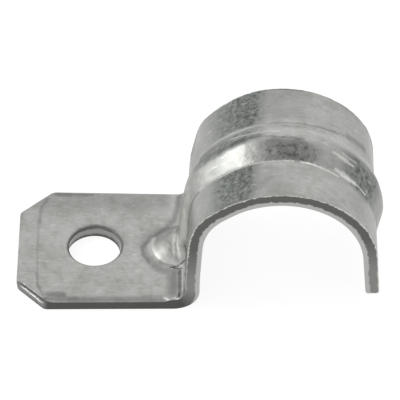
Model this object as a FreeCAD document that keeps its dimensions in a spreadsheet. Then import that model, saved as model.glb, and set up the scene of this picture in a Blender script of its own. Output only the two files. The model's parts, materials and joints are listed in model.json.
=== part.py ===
"""One-hole conduit strap: a single piece of galvanised sheet steel, pressed to shape.

The origin is on the screw hole's axis, at the foot's underside. +X runs from the hole to the
conduit, +Y along the conduit and +Z away from the mounting surface. Sizes are in millimetres
and degrees. The sheet keeps one thickness throughout, so the pressed bead stands proud outside
and leaves a hollow of the same form inside.
"""
import FreeCAD, Part
import Sketcher
import math
import os

# ---------------------------------------------------------------- driving dimensions
SIZES = {
    "sheet_thickness": 1.85,    # of the steel, everywhere
    "strap_width": 20.0,        # along the conduit
    "tip_reach": 10.35,         # from the hole's axis to the foot's free end
    "corner_clip": 4.4,         # legs of the two clipped corners of the foot
    "hole_diameter": 7.2,       # screw hole
    "arch_reach": 25.4,         # from the hole's axis to the conduit's axis
    "arch_rise": 9.15,          # from the foot's underside to the conduit's axis
    "arch_radius": 10.8,        # inside of the arch, which grips the conduit
    "fold_radius": 1.75,        # inside of the fold between foot and leg
    "leg_lean": 1.3,            # degrees that the leg spreads from upright
    "tail_flare": 3.9,          # degrees that the tail spreads from upright
    "tail_clearance": 2.65,     # from the mounting surface up to the tail's lowest edge
    "bead_radius": 5.0,         # of the pressed bead's rounded top, across the strap
    "bead_height": 1.2,         # of the bead above the leg and the arch
    "bead_root": 1.4,           # how far the bead's own solid reaches into the sheet
    "bead_end": 3.0,            # degrees above the spring line where the bead rounds off
    "bead_blend": 1.0,          # fillet between the bead and the sheet
    "ridge_radius": 2.0,        # of the bead's ridge where it turns from foot to leg
    "dome_height": 1.75,        # of the dome on the foot, where the bead starts
    "dome_root": 0.3,           # how far the dome's own solid reaches into the foot
    "dome_tilt": 13.5,          # degrees that the ridge rises where it leaves the dome
    "die_roll": 0.3,            # rounding of the sheared rims on the outer face
}

NODE = "strap"
DOWNWARD = 270.0
HALF_TURN = 180.0
QUARTER_TURN = 90.0
TOUCH = 1e-4

# ---------------------------------------------------------------- expressions shared by features
ARCH_OUTSIDE = "(sizes.arch_radius + sizes.sheet_thickness)"
RIDGE = "(" + ARCH_OUTSIDE + " + sizes.bead_height)"
BEAD_LINE = "(" + RIDGE + " - sizes.bead_radius)"
BEAD_FLOOR = "(sizes.bead_radius - sizes.bead_height - sizes.bead_root)"
BEAD_END_X = "(sizes.arch_reach + " + BEAD_LINE + " * cos(sizes.bead_end))"
BEAD_END_Z = "(sizes.arch_rise + " + BEAD_LINE + " * sin(sizes.bead_end))"
HOLLOW_RADIUS = "(sizes.bead_radius - sizes.sheet_thickness)"
DOME_FLOOR = "(sizes.bead_radius - sizes.dome_height - sizes.dome_root)"
DOME_Z = "(sizes.sheet_thickness + sizes.dome_height - sizes.bead_radius)"
TURN_RADIUS = "(sizes.ridge_radius + sizes.bead_radius)"
TURN_OFFSET = "(" + RIDGE + " + sizes.ridge_radius)"
TURN_Z = "(" + DOME_Z + " + " + TURN_RADIUS + " * cos(sizes.dome_tilt))"
TURN_X = ("(sizes.arch_reach - {offset} * cos(sizes.leg_lean)"
          " + ({height} - sizes.arch_rise - {offset} * sin(sizes.leg_lean))"
          " * tan(sizes.leg_lean))").format(offset=TURN_OFFSET, height=TURN_Z)
DOME_X = "(" + TURN_X + " + " + TURN_RADIUS + " * sin(sizes.dome_tilt))"

# ---------------------------------------------------------------- sketch vocabulary
START, END, CENTRE = 1, 2, 3
ORIGIN = (-1, START)
X_AXIS, Y_AXIS = -1, -2
UPWARD = FreeCAD.Vector(0, 0, 1)


def make_sheet(document):
    """Write the driving dimensions into the spreadsheet, one aliased cell each."""
    sheet = document.addObject("Spreadsheet::Sheet", "sizes")
    for row, (alias, size) in enumerate(SIZES.items(), start=1):
        sheet.set("A%d" % row, alias)
        sheet.set("B%d" % row, str(size))
        sheet.setAlias("B%d" % row, alias)
    document.recompute()


def value(expression):
    """Work an expression out from the spreadsheet, for a sketch's first placement."""
    return FreeCAD.ActiveDocument.getObject("sizes").evalExpression(expression)


def new_sketch(body, name, role, offset_x="0", offset_y="0", offset_z="0"):
    """Attach a sketch to one of the body's origin planes, moved by three expressions."""
    plane = [item for item in body.Origin.OriginFeatures if item.Role == role][0]
    sketch = body.newObject("Sketcher::SketchObject", name)
    sketch.AttachmentSupport = (plane, [""])
    sketch.MapMode = "FlatFace"
    for axis, expression in (("x", offset_x), ("y", offset_y), ("z", offset_z)):
        sketch.setExpression("AttachmentOffset.Base." + axis, expression)
    return sketch


def tip_over(sketch, axis, angle):
    """Turn a sketch in its own frame and bind the angle to an expression."""
    offset = sketch.AttachmentOffset
    offset.Rotation = FreeCAD.Rotation(axis, value(angle))
    sketch.AttachmentOffset = offset
    sketch.setExpression("AttachmentOffset.Rotation.Angle", angle)


def dimension(sketch, name, expression, kind, *references):
    """Add a named sketch dimension and bind it to an expression on the sheet."""
    size = value(expression)
    if kind == "Angle":
        size = math.radians(size)
    index = sketch.addConstraint(Sketcher.Constraint(kind, *references, size))
    sketch.renameConstraint(index, name)
    sketch.setExpression("Constraints." + name, expression)


def rule(kind, *references):
    return Sketcher.Constraint(kind, *references)


def polar(centre, radius, angle):
    """A point of the sketch plane at an angle in degrees round a centre."""
    return centre + FreeCAD.Rotation(UPWARD, angle).multVec(FreeCAD.Vector(radius, 0, 0))


def line(start, end):
    return Part.LineSegment(start, end)


def arc(centre, radius, first, last):
    """A counter-clockwise arc between two angles in degrees."""
    circle = Part.Circle(centre, UPWARD, radius)
    return Part.ArcOfCircle(circle, math.radians(first), math.radians(last))


# ---------------------------------------------------------------- checks
def check(document, body, before, removes):
    """Recompute, and stop if a feature failed, split the solid or changed it the wrong way."""
    document.recompute()
    for item in document.Objects:
        if "Invalid" in item.State or "Error" in item.State:
            raise RuntimeError("%s failed: %s" % (item.Name, item.State))
    shape = body.Shape
    if shape.isNull() or not shape.isValid() or len(shape.Solids) != 1:
        raise RuntimeError("%s leaves no single valid solid" % body.Tip.Name)
    if removes is not None and (shape.Volume < before) != removes:
        raise RuntimeError("%s changed the volume the wrong way" % body.Tip.Name)
    print("%-14s %9.2f mm3" % (body.Tip.Name, shape.Volume))


def add_feature(document, body, kind, name, links, expressions, removes=None):
    """Add a PartDesign feature with its links and bound sizes, and check what it did."""
    before = 0.0 if body.Shape.isNull() else body.Shape.Volume
    feature = body.newObject("PartDesign::" + kind, name)
    for prop, link in links.items():
        setattr(feature, prop, link)
    for prop, expression in expressions.items():
        feature.setExpression(prop, expression)
    check(document, body, before, removes)
    return feature


def edges_where(shape, test):
    """Names of the edges whose ends and middle all pass a test."""
    names = []
    for number, edge in enumerate(shape.Edges, start=1):
        middle = edge.valueAt((edge.FirstParameter + edge.LastParameter) / 2)
        if all(test(point) for point in [middle] + [vertex.Point for vertex in edge.Vertexes]):
            names.append("Edge%d" % number)
    return names


# ---------------------------------------------------------------- the bent sheet
def draw_side_profile(body):
    """The strap seen along the conduit: foot, fold, leg, arch and tail, one thickness throughout.

    Returns the sketch and the curves of its outer face.
    """
    sketch = new_sketch(body, "side_profile", "XZ_Plane")
    thickness = value("sizes.sheet_thickness")
    tip = -value("sizes.tip_reach")
    inside = value("sizes.arch_radius")
    outside = value(ARCH_OUTSIDE)
    fold = value("sizes.fold_radius")
    lean = value("sizes.leg_lean")
    flare = value("sizes.tail_flare")
    axis = FreeCAD.Vector(value("sizes.arch_reach"), value("sizes.arch_rise"), 0)
    across_leg = polar(FreeCAD.Vector(), 1, -lean)
    along_leg = polar(FreeCAD.Vector(), 1, QUARTER_TURN - lean)
    down_tail = polar(FreeCAD.Vector(), 1, flare - QUARTER_TURN)
    fold_centre = axis - across_leg * (outside + fold)
    fold_centre += along_leg * ((thickness + fold - fold_centre.y) / along_leg.y)
    fold_last = DOWNWARD + QUARTER_TURN - lean
    tail_in = polar(axis, inside, flare)
    tail_out = polar(axis, outside, flare)
    tail_drop = down_tail * ((tail_in.y - value("sizes.tail_clearance")) / -down_tail.y)
    pieces = [
        line(FreeCAD.Vector(tip, 0, 0), FreeCAD.Vector(fold_centre.x, 0, 0)),
        arc(fold_centre, fold + thickness, DOWNWARD, fold_last),
        line(fold_centre + across_leg * (fold + thickness), polar(axis, inside, HALF_TURN - lean)),
        arc(axis, inside, flare, HALF_TURN - lean),
        line(tail_in, tail_in + tail_drop),
        line(tail_in + tail_drop, tail_out + tail_drop),
        line(tail_out + tail_drop, tail_out),
        arc(axis, outside, flare, HALF_TURN - lean),
        line(polar(axis, outside, HALF_TURN - lean), fold_centre + across_leg * fold),
        arc(fold_centre, fold, DOWNWARD, fold_last),
        line(FreeCAD.Vector(fold_centre.x, thickness, 0), FreeCAD.Vector(tip, thickness, 0)),
        line(FreeCAD.Vector(tip, thickness, 0), FreeCAD.Vector(tip, 0, 0)),
    ]
    (underside, fold_outer, leg_inner, arch_inner, tail_inner, tail_end,
     tail_outer, arch_outer, leg_outer, fold_inner, top, tip_end) = range(len(pieces))
    sketch.addGeometry(pieces, False)
    sketch.addConstraint([
        rule("Tangent", underside, END, fold_outer, START),
        rule("Tangent", fold_outer, END, leg_inner, START),
        rule("Tangent", leg_inner, END, arch_inner, END),
        rule("Tangent", arch_inner, START, tail_inner, START),
        rule("Tangent", tail_outer, END, arch_outer, START),
        rule("Tangent", arch_outer, END, leg_outer, START),
        rule("Tangent", leg_outer, END, fold_inner, END),
        rule("Tangent", fold_inner, START, top, START),
        rule("Coincident", tail_inner, END, tail_end, START),
        rule("Coincident", tail_end, END, tail_outer, START),
        rule("Coincident", top, END, tip_end, START),
        rule("Coincident", tip_end, END, underside, START),
        rule("Coincident", arch_inner, CENTRE, arch_outer, CENTRE),
        rule("Coincident", fold_inner, CENTRE, fold_outer, CENTRE),
        rule("PointOnObject", underside, START, X_AXIS),
        rule("Horizontal", underside),
        rule("Horizontal", top),
        rule("Vertical", tip_end),
        rule("Perpendicular", tail_inner, tail_end),
        rule("Perpendicular", tail_end, tail_outer),
    ])
    dimension(sketch, "tip_reach", "sizes.tip_reach", "DistanceX", underside, START, *ORIGIN)
    dimension(sketch, "thickness", "sizes.sheet_thickness", "DistanceY", *ORIGIN, top, START)
    dimension(sketch, "arch_reach", "sizes.arch_reach", "DistanceX", *ORIGIN, arch_inner, CENTRE)
    dimension(sketch, "arch_rise", "sizes.arch_rise", "DistanceY", *ORIGIN, arch_inner, CENTRE)
    dimension(sketch, "arch_inside", "sizes.arch_radius", "Radius", arch_inner)
    dimension(sketch, "arch_outside", ARCH_OUTSIDE, "Radius", arch_outer)
    dimension(sketch, "fold_inside", "sizes.fold_radius", "Radius", fold_inner)
    dimension(sketch, "leg_lean", "90 - sizes.leg_lean", "Angle", leg_inner)
    dimension(sketch, "tail_flare", "sizes.tail_flare - 90", "Angle", tail_inner)
    dimension(sketch, "clearance", "sizes.tail_clearance", "DistanceY", *ORIGIN, tail_inner, END)
    outer_face = [pieces[number] for number in (tail_outer, arch_outer, leg_outer, fold_inner, top)]
    return sketch, outer_face


def clip_corners(document, body):
    """Clip the two upright corner edges at the foot's free end."""
    tip = -value("sizes.tip_reach")
    half_width = value("sizes.strap_width / 2")

    def on_corner(point):
        return abs(point.x - tip) < TOUCH and abs(abs(point.y) - half_width) < TOUCH

    corners = (body.Tip, edges_where(body.Shape, on_corner))
    add_feature(document, body, "Chamfer", "corner_clips", {"Base": corners},
                {"Size": "sizes.corner_clip"}, removes=True)


def drill_screw_hole(document, body):
    """The round screw hole, straight through the foot."""
    sketch = new_sketch(body, "screw_hole_rim", "XY_Plane", offset_z="sizes.sheet_thickness")
    rim = Part.Circle(FreeCAD.Vector(), UPWARD, value("sizes.hole_diameter / 2"))
    sketch.addGeometry(rim, False)
    sketch.addConstraint(rule("Coincident", 0, CENTRE, *ORIGIN))
    dimension(sketch, "diameter", "sizes.hole_diameter", "Diameter", 0)
    document.recompute()
    through = {"Profile": sketch, "DepthType": "ThroughAll", "Threaded": False}
    add_feature(document, body, "Hole", "screw_hole", through,
                {"Diameter": "sizes.hole_diameter"}, removes=True)


# ---------------------------------------------------------------- the pressed bead
def draw_bead_line(body):
    """The line that the bead's round section follows: round the fold, up the leg, over the arch."""
    sketch = new_sketch(body, "bead_line", "XZ_Plane")
    lean = value("sizes.leg_lean")
    tilt = value("sizes.dome_tilt")
    bead_end = value("sizes.bead_end")
    turn = FreeCAD.Vector(value(TURN_X), value(TURN_Z), 0)
    turn_radius = value(TURN_RADIUS)
    axis = FreeCAD.Vector(value("sizes.arch_reach"), value("sizes.arch_rise"), 0)
    radius = value(BEAD_LINE)
    sketch.addGeometry([
        arc(turn, turn_radius, DOWNWARD + tilt, DOWNWARD + QUARTER_TURN - lean),
        line(polar(turn, turn_radius, -lean), polar(axis, radius, HALF_TURN - lean)),
        arc(axis, radius, bead_end, HALF_TURN - lean),
    ], False)
    sketch.addGeometry([
        line(axis, polar(axis, radius, bead_end)),
        line(turn, polar(turn, turn_radius, DOWNWARD + tilt)),
    ], True)
    fold_part, leg_part, arch_part, end_ray, start_ray = range(5)
    sketch.addConstraint([
        rule("Tangent", fold_part, END, leg_part, START),
        rule("Tangent", leg_part, END, arch_part, END),
        rule("Coincident", end_ray, START, arch_part, CENTRE),
        rule("Coincident", end_ray, END, arch_part, START),
        rule("Coincident", start_ray, START, fold_part, CENTRE),
        rule("Coincident", start_ray, END, fold_part, START),
    ])
    dimension(sketch, "arch_reach", "sizes.arch_reach", "DistanceX", *ORIGIN, arch_part, CENTRE)
    dimension(sketch, "arch_rise", "sizes.arch_rise", "DistanceY", *ORIGIN, arch_part, CENTRE)
    dimension(sketch, "arch_line", BEAD_LINE, "Radius", arch_part)
    dimension(sketch, "turn_radius", TURN_RADIUS, "Radius", fold_part)
    dimension(sketch, "turn_height", TURN_Z, "DistanceY", *ORIGIN, fold_part, CENTRE)
    dimension(sketch, "leg_lean", "90 - sizes.leg_lean", "Angle", leg_part)
    dimension(sketch, "dome_tilt", "sizes.dome_tilt - 90", "Angle", start_ray)
    dimension(sketch, "bead_end", "sizes.bead_end", "Angle", end_ray)
    return sketch


def draw_section(body, name, radius, floor):
    """A circle's top over a level chord, square to the bead line at its start on the foot."""
    sketch = new_sketch(body, name, "YZ_Plane", offset_y=DOME_Z, offset_z=DOME_X)
    tip_over(sketch, FreeCAD.Vector(-1, 0, 0), "sizes.dome_tilt")
    half = math.degrees(math.acos(value(floor) / value(radius)))
    top = arc(FreeCAD.Vector(), value(radius), QUARTER_TURN - half, QUARTER_TURN + half)
    sketch.addGeometry([top, line(top.EndPoint, top.StartPoint)], False)
    round_top, chord = range(2)
    sketch.addConstraint([
        rule("Coincident", round_top, CENTRE, *ORIGIN),
        rule("Coincident", round_top, END, chord, START),
        rule("Coincident", chord, END, round_top, START),
        rule("Horizontal", chord),
    ])
    dimension(sketch, "radius", radius, "Radius", round_top)
    dimension(sketch, "floor", floor, "DistanceY", *ORIGIN, chord, START)
    return sketch


def draw_half_section(body, name, place, turn, side, radius, floor):
    """Half of such a section beside an upright stem, round which it turns into a rounded end.

    The side is -1 for an end that rounds off towards the sketch's -X, and 1 for the other way.
    """
    sketch = new_sketch(body, name, "XZ_Plane", *place)
    tip_over(sketch, UPWARD, turn)
    size = value(radius)
    low = value(floor)
    half = math.degrees(math.acos(low / size))
    if side < 0:
        edge = arc(FreeCAD.Vector(), size, QUARTER_TURN, QUARTER_TURN + half)
        top, corner = START, END
    else:
        edge = arc(FreeCAD.Vector(), size, QUARTER_TURN - half, QUARTER_TURN)
        top, corner = END, START
    foot = FreeCAD.Vector(0, low, 0)
    far = FreeCAD.Vector(side * math.sqrt(size ** 2 - low ** 2), low, 0)
    sketch.addGeometry([edge, line(far, foot), line(foot, FreeCAD.Vector(0, size, 0))], False)
    round_edge, chord, stem = range(3)
    sketch.addConstraint([
        rule("Coincident", round_edge, CENTRE, *ORIGIN),
        rule("Coincident", round_edge, corner, chord, START),
        rule("Coincident", chord, END, stem, START),
        rule("Coincident", stem, END, round_edge, top),
        rule("Horizontal", chord),
        rule("Vertical", stem),
        rule("PointOnObject", stem, END, Y_AXIS),
    ])
    dimension(sketch, "radius", radius, "Radius", round_edge)
    dimension(sketch, "floor", floor, "DistanceY", *ORIGIN, chord, END)
    return sketch


def press_bead(document, body, name, bead_line, radius, floor, dome_floor, removes):
    """A run along the bead line with a rounded end on the foot and one on the tail side."""
    run_kind = "SubtractivePipe" if removes else "AdditivePipe"
    end_kind = "Groove" if removes else "Revolution"
    ends = [
        ("_dome", (DOME_X, DOME_Z), "sizes.dome_tilt", -1, dome_floor),
        ("_end", (BEAD_END_X, BEAD_END_Z), "270 + sizes.bead_end", 1, floor),
    ]
    section = draw_section(body, name + "_section", radius, floor)
    spine = (bead_line, ["Edge%d" % number for number in (1, 2, 3)])
    add_feature(document, body, run_kind, name + "_run",
                {"Profile": section, "Spine": spine, "Mode": "Frenet"}, {}, removes)
    for suffix, place, turn, side, end_floor in ends:
        half = draw_half_section(body, name + suffix + "_half", place, turn, side, radius, end_floor)
        upright = (half, ["V_Axis"])
        add_feature(document, body, end_kind, name + suffix,
                    {"Profile": half, "ReferenceAxis": upright, "Angle": HALF_TURN, "Midplane": True},
                    {}, removes)


def round_size(surface):
    """The radius of a round face, or nothing for a flat one."""
    if surface.TypeId == "Part::GeomToroid":
        return surface.MinorRadius
    if surface.TypeId in ("Part::GeomSphere", "Part::GeomCylinder"):
        return surface.Radius
    return None


def blend_bead(document, body, name, radius):
    """Fillet the edges where the bead's faces, which all have this radius, meet the sheet's."""
    names = []
    for number, edge in enumerate(body.Shape.Edges, start=1):
        sizes = [round_size(face.Surface) for face in body.Shape.ancestorsOfType(edge, Part.Face)]
        matches = [size is not None and abs(size - value(radius)) < TOUCH for size in sizes]
        if len(sizes) == 2 and matches.count(True) == 1:
            names.append("Edge%d" % number)
    add_feature(document, body, "Fillet", name, {"Base": (body.Tip, names)},
                {"Radius": "sizes.bead_blend"})


# ---------------------------------------------------------------- the sheared rims
def roll_rims(document, body, outer_face):
    """Round the sheared rims on the outer face: both long sides, the clipped end and the hole."""
    thickness = value("sizes.sheet_thickness")
    tip_reach = value("sizes.tip_reach")
    half_width = value("sizes.strap_width / 2")
    clip = value("sizes.corner_clip")
    hole_radius = value("sizes.hole_diameter / 2")

    def on_side(point):
        flat = FreeCAD.Vector(point.x, point.z, 0)
        gaps = [flat.distanceToPoint(curve.value(curve.parameter(flat))) for curve in outer_face]
        return abs(abs(point.y) - half_width) < TOUCH and min(gaps) < TOUCH

    def on_tip(point):
        from_tip = point.x + tip_reach
        from_corner = from_tip + half_width - abs(point.y)
        return abs(point.z - thickness) < TOUCH and min(from_tip, abs(from_corner - clip)) < TOUCH

    def on_hole(point):
        from_rim = abs(math.hypot(point.x, point.y) - hole_radius)
        return abs(point.z - thickness) < TOUCH and from_rim < TOUCH

    rims = set()
    for test in (on_side, on_tip, on_hole):
        rims.update(edges_where(body.Shape, test))
    add_feature(document, body, "Fillet", "die_roll", {"Base": (body.Tip, sorted(rims))},
                {"Radius": "sizes.die_roll"}, removes=True)


def make_strap(document):
    body = document.addObject("PartDesign::Body", NODE)
    body.Label = NODE
    body.Placement = FreeCAD.Placement()
    profile, outer_face = draw_side_profile(body)
    add_feature(document, body, "Pad", "bent_sheet", {"Profile": profile, "SideType": "Symmetric"},
                {"Length": "sizes.strap_width"})
    clip_corners(document, body)
    drill_screw_hole(document, body)
    bead_line = draw_bead_line(body)
    document.recompute()
    press_bead(document, body, "bead", bead_line, "sizes.bead_radius", BEAD_FLOOR, DOME_FLOOR, False)
    press_bead(document, body, "hollow", bead_line, HOLLOW_RADIUS, "0", "0", True)
    blend_bead(document, body, "bead_blend", "sizes.bead_radius")
    blend_bead(document, body, "hollow_blend", HOLLOW_RADIUS)
    roll_rims(document, body, outer_face)
    return body


def main():
    document = FreeCAD.newDocument("conduit_strap")
    make_sheet(document)
    strap = make_strap(document)
    os.makedirs("parts", exist_ok=True)
    strap.Shape.exportStep("parts/%s.step" % strap.Label)


main()
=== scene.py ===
"""One-hole conduit strap, pressed from galvanised sheet steel, in a plain studio.

The strap is one pressed sheet with a foot, a screw hole, a leg, an arch and a tail, and a bead
that runs over all of it and ends in a dome on the foot. Lengths are in millimetres inside the
making of the mesh and in metres everywhere else. The frame's origin is on the screw hole's
axis at the foot's underside, +X runs to the conduit, +Y along it and +Z off the wall.
"""
import json
import math

import bpy
import numpy as np
from mathutils import Matrix, Vector, noise


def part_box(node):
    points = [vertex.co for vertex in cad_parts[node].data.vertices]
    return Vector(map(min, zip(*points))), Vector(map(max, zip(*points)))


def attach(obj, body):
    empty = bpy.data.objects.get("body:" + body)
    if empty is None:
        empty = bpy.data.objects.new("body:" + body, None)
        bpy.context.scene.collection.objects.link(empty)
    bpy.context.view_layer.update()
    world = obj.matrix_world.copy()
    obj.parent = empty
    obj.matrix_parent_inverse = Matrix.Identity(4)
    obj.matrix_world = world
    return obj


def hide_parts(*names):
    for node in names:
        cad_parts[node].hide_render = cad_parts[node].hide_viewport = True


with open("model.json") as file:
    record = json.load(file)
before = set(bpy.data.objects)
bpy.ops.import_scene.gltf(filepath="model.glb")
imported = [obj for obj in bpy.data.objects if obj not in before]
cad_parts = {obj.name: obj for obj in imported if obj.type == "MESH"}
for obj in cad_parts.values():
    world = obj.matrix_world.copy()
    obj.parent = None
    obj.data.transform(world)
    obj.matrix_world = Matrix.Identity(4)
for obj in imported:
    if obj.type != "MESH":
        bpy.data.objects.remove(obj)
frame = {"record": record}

bl_info = {
    "name": "Conduit strap",
    "version": (1, 0, 0),
    "blender": (4, 5, 0),
    "location": "3D View > Sidebar > Conduit strap",
    "description": "Builds a pressed one-hole conduit strap and its studio stage",
    "category": "Add Mesh",
}

MM = 0.001
CAD_NODE = "strap"
CAD_BODY = "root"

CAD_LOW, CAD_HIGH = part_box(CAD_NODE)
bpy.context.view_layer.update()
MOUNTS = {mount["name"]: mount for mount in frame["record"]["mounts"]}
BORE = MOUNTS["screw_hole"]
GRIP = MOUNTS["conduit_grip"]


def linear(code):
    """An sRGB hex colour as the linear red, green and blue that the shaders take."""
    channels = [int(code[i:i + 2], 16) / 255 for i in (1, 3, 5)]
    return tuple(c / 12.92 if c <= 0.04045 else ((c + 0.055) / 1.055) ** 2.4 for c in channels)


# ------------------------------------------------------------------ what a user may change
def length_prop(name, description, default, low=0.0):
    """A length in metres, shown in the scene's unit."""
    return bpy.props.FloatProperty(
        name=name, description=description, default=default, min=low,
        unit="LENGTH", subtype="DISTANCE", precision=5)


def angle_prop(name, description, degrees):
    """An angle, kept in radians and shown in degrees."""
    return bpy.props.FloatProperty(
        name=name, description=description, default=math.radians(degrees),
        unit="ROTATION", subtype="ANGLE")


def colour_prop(name, description, code):
    """A colour, given as an sRGB hex value and kept linear."""
    return bpy.props.FloatVectorProperty(
        name=name, description=description, default=linear(code), size=3,
        min=0.0, max=1.0, subtype="COLOR")


class StrapSizes(bpy.types.PropertyGroup):
    """Sizes of the pressed sheet. The main ones come from the frame."""

    thickness: length_prop("Sheet thickness", "Thickness of the steel sheet",
                           BORE["dims"]["length_mm"] * MM)
    width: length_prop("Strap width", "Width of the strap along the conduit",
                       CAD_HIGH.y - CAD_LOW.y)
    tip_reach: length_prop("Tip reach", "From the hole's axis to the foot's free end",
                           -CAD_LOW.x)
    tip_skew: length_prop("Tip skew", "How much further the tip reaches at its back corner",
                          0.25 * MM)
    clip: length_prop("Corner clip", "Legs of the foot's two clipped corners", 4.1 * MM)
    foot_spread: length_prop("Foot spread", "How far each side of the foot stands out at its tip",
                             0.27 * MM)
    crown_spread: length_prop("Crown spread", "How far each side of the arch stands out on top",
                              0.1 * MM)
    front_swell: length_prop("Front swell", "How far the arch's front shoulder stands out",
                             0.3 * MM)
    back_dip: length_prop("Back dip", "How far the arch's back shoulder is in", 0.42 * MM)
    hole_radius: length_prop("Hole radius", "Radius of the screw hole",
                             BORE["dims"]["r_mm"] * MM)
    arch_reach: length_prop("Arch reach", "From the hole's axis to the conduit's axis",
                            GRIP["pos_m"][0])
    arch_rise: length_prop("Arch rise", "From the wall to the conduit's axis",
                           GRIP["pos_m"][2])
    arch_radius: length_prop("Arch radius", "Inside radius that grips the conduit",
                             GRIP["dims"]["r_mm"] * MM)
    fold_radius: length_prop("Fold radius", "Inside of the fold from foot to leg", 1.75 * MM)
    leg_lean: angle_prop("Leg lean", "How far the leg spreads from upright", 1.3)
    tail_flare: angle_prop("Tail flare", "How far the tail spreads from upright", 3.9)
    tail_clearance: length_prop("Tail clearance", "From the wall up to the tail", 2.65 * MM)
    bead_radius: length_prop("Bead radius", "Of the bead's rounded top", 5.0 * MM)
    bead_height: length_prop("Bead height", "Of the bead above leg and arch", 1.2 * MM)
    bead_blend: length_prop("Bead blend", "Fillet between bead and sheet", 1.0 * MM)
    flank_slope: angle_prop("Flank slope", "Of the bead's sides on the arch", 25.0)
    crest_radius: length_prop("Crest radius", "Of the bead's crest on the arch", 2.2 * MM)
    bead_end: angle_prop("Bead end", "Above the spring line, where the bead rounds off", 3.0)
    ridge_radius: length_prop("Ridge radius", "Of the ridge where it turns up", 1.3 * MM)
    dome_height: length_prop("Dome height", "Of the dome on the foot", 1.75 * MM)
    dome_blend: length_prop("Dome blend", "Fillet between dome and foot", 0.4 * MM)
    dome_tilt: angle_prop("Dome tilt", "Rise of the ridge where it leaves the dome", 13.5)
    roll_depth: length_prop("Roll depth", "How far the foot's rolled rims fall", 0.42 * MM)
    roll_width: length_prop("Roll width", "How wide the foot's rolled rims are", 0.75 * MM)


class StrapFinish(bpy.types.PropertyGroup):
    """Colours of the galvanised sheet and of its sheared edges, with the colours that paint shade
    and highlights on them.
    """

    zinc: colour_prop("Zinc", "Dull zinc coating", "#ACADA8")
    zinc_pale: colour_prop("Pale zinc", "Freshly frozen, paler zinc", "#C4C5C2")
    # dark patches on the arch and the bead, partly painted shade, and grime in a torn edge's grain
    zinc_dark: colour_prop("Dark zinc", "Passivated patches", "#626865")
    # painted shade along the shade lines and round the hole's rim, and the colour of the bead's
    # dark specks and of dirt in pits
    smudge: colour_prop("Smudge", "Dirt held along the press's marks", "#5F605F")
    # painted shade on the leg, the arch's sides, the crown's bands, the dome and the foot's back
    drawn: colour_prop("Drawn zinc", "Greyer where the sheet was drawn", "#767774")
    # bright zinc for rubbed nicks and lines, and for painted light and painted highlights
    rubbed: colour_prop("Rubbed zinc", "Where the die or handling rubbed it bright", "#E2E2DE")
    # painted shade in creases and wrinkles, and along the rims of clipped corners and the hole
    crease: colour_prop("Crease", "Dirt in creases and wrinkles", "#585A58")
    fracture: colour_prop("Fracture", "Torn part of a sheared edge", "#696865")
    burnish: colour_prop("Burnish", "Smooth part of a sheared edge", "#ACACAA")
    # painted highlight along the upper part of a clipped corner's cut
    streak: colour_prop("Clip streak", "Rubbed streak on a clipped corner", "#F4F4F2")
    # the foot's torn edge, painted darker as shade where it faces the floor
    foot_edge: colour_prop("Foot edge", "Dark sheared edge along the foot", "#565452")
    bore: colour_prop("Bore", "Wall of the punched screw hole", "#8E8F8C")
    burr: colour_prop("Burr", "Bright line on a sheared rim", "#D2D2CE")


class StrapStage(bpy.types.PropertyGroup):
    """Camera, lamp, floor and backdrop."""

    elevation: angle_prop("Elevation", "Camera's height above the horizon", 45.2)
    heading: angle_prop("Heading", "Camera's turn round the strap", 1.85)
    roll: angle_prop("Roll", "Camera's roll about its own axis", -1.0)
    distance: length_prop("Distance", "From the camera to the strap", 404.3 * MM)
    lens: bpy.props.FloatProperty(
        name="Lens", description="Focal length on a 36 mm sensor, in millimetres",
        default=271.8, min=1.0)
    key: bpy.props.FloatProperty(
        name="Key lamp", description="Power of the lamp on the left",
        default=0.86, min=0.0, unit="POWER")
    backdrop: colour_prop("Backdrop", "Floor and backdrop", "#FFFFFF")


# ------------------------------------------------------------------ the form, in millimetres
FOOT_SEAM = 5.6          # along the foot, where the rows round the hole meet the straight rows
TILT_START = 6.0         # along the foot, where the rows start to lean back to the ridge
CLIP_START = -6.3        # along the foot, where the clipped corners start
TAIL_CORNER = 1.0        # radius of the tail's two corners
CORNER_EASE = 0.45       # how far from a corner of the foot its easing starts
OUTLINE_STEP = 0.26      # between points round the foot's outline
BEAD_ROOT, BEAD_CREST = 4.7, 2.3     # across the strap, where the bead's flanks start and end
RIM_STEPS = (0.0, 0.06, 0.14, 0.24, 0.36, 0.50, 0.70, 1.0)   # from a rim into the sheet
FULL_STEPS = 3.2         # from the hole to the outline, where the rim steps fit at full size
WALL_STEPS = 8           # through the sheet at a cut edge
# stops along each part, with the next part's first
FOOT_ROWS, TURN_ROWS, LEG_ROWS, ARCH_ROWS, TAIL_ROWS = 28, 38, 19, 150, 24
LEG_TURN = math.radians(16)          # how much of a turn round the arch the leg counts as
NO_ANGLE = 9.0           # for rows that aren't round the arch
FAR = 99.0               # farther than any rim
ANGLES = ("leg_lean", "tail_flare", "flank_slope", "bead_end", "dome_tilt")

# What pressing and shearing left, in millimetres
WAVES = ((0.035, 5.0, 1), (0.016, 1.7, 2), (0.006, 0.8, 3))   # how high, how long, which draw
RIM_DEPTH, RIM_WIDTH = 0.07, 0.25    # how far the foot's plainer rims are rolled over
BURR_HEIGHT, BURR_WIDTH = 0.05, 0.13           # of the burr along the arch's rim
TIP_BEND = 0.07          # how far the tip bends down past its crease
DENT_DEPTH = 0.08        # of the dent by the front clip
CREASE_DEPTH = 0.045     # of the strongest crease
CLIP_LEAN = 0.14         # how far the front clip's upper rim leans in
HOLE_SHIFT = 0.25        # how far the hole's lower rim is nearer the tip
TEAR_GRAINS = ((0.35, 6), (1.3, 3))  # grain of a torn edge: its size, and how many lie through it
TEAR_DEPTH = 0.03        # how far each grain stands out
CLIP_BULGE, CUT_HOLLOW = 0.16, 0.035           # of a clipped corner's cut, and of every cut
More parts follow.
